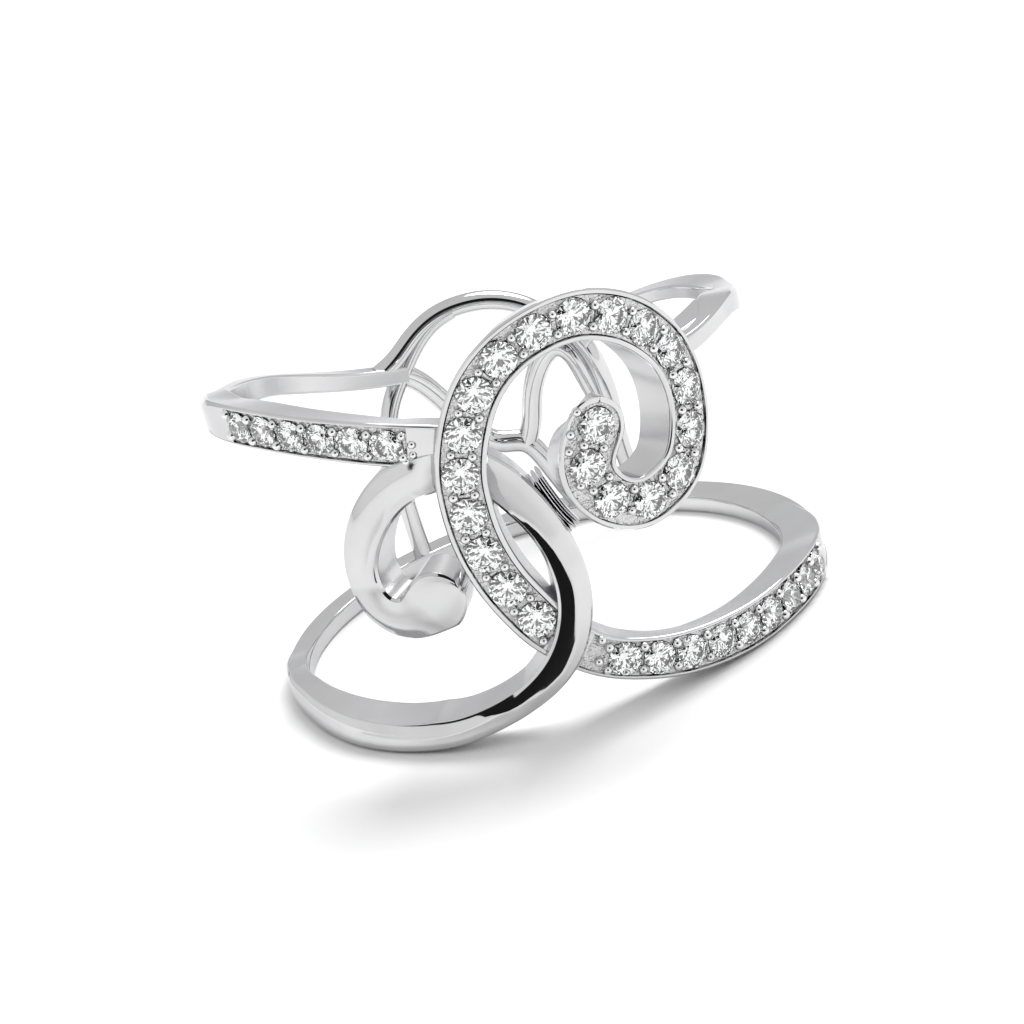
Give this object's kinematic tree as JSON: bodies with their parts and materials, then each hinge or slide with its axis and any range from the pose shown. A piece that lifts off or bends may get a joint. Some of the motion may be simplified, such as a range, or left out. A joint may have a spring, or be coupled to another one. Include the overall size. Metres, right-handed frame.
{
  "type": "swirl ring",
  "caption": "Openwork finger ring whose two bands cross in a pair of swirls at the front, with a channel of round brilliants and a wire loop at the back.",
  "frame": {"origin": "on the axis of the finger hole, at the height of the lower band's underside, which the ring rests on", "axes": "+Z along the finger hole's axis, up from the lower band to the upper band; -Y towards the swirls at the front, +Y towards the wire loop at the back"},
  "size_m": [0.0197, 0.0203, 0.0154],
  "materials": {
    "white_gold": "polished, rhodium plated, with satin inner walls",
    "diamond": "faceted and polished"
  },
  "bodies": {
    "root": {"setting": "white_gold", "swirl_stone_01": "diamond", "swirl_stone_02": "diamond", "swirl_stone_03": "diamond", "swirl_stone_04": "diamond", "swirl_stone_05": "diamond", "swirl_stone_06": "diamond", "swirl_stone_07": "diamond", "swirl_stone_08": "diamond", "swirl_stone_09": "diamond", "swirl_stone_10": "diamond", "swirl_stone_11": "diamond", "swirl_stone_12": "diamond", "swirl_stone_13": "diamond", "swirl_stone_14": "diamond", "swirl_stone_15": "diamond", "swirl_stone_16": "diamond", "swirl_stone_17": "diamond", "swirl_stone_18": "diamond", "swirl_stone_19": "diamond", "swirl_stone_20": "diamond", "lower_arm_stone_01": "diamond", "lower_arm_stone_02": "diamond", "lower_arm_stone_03": "diamond", "lower_arm_stone_04": "diamond", "lower_arm_stone_05": "diamond", "lower_arm_stone_06": "diamond", "lower_arm_stone_07": "diamond", "lower_arm_stone_08": "diamond", "lower_arm_stone_09": "diamond", "upper_arm_stone_01": "diamond", "upper_arm_stone_02": "diamond", "upper_arm_stone_03": "diamond", "upper_arm_stone_04": "diamond", "upper_arm_stone_05": "diamond", "upper_arm_stone_06": "diamond"}
  },
  "joints": []
}
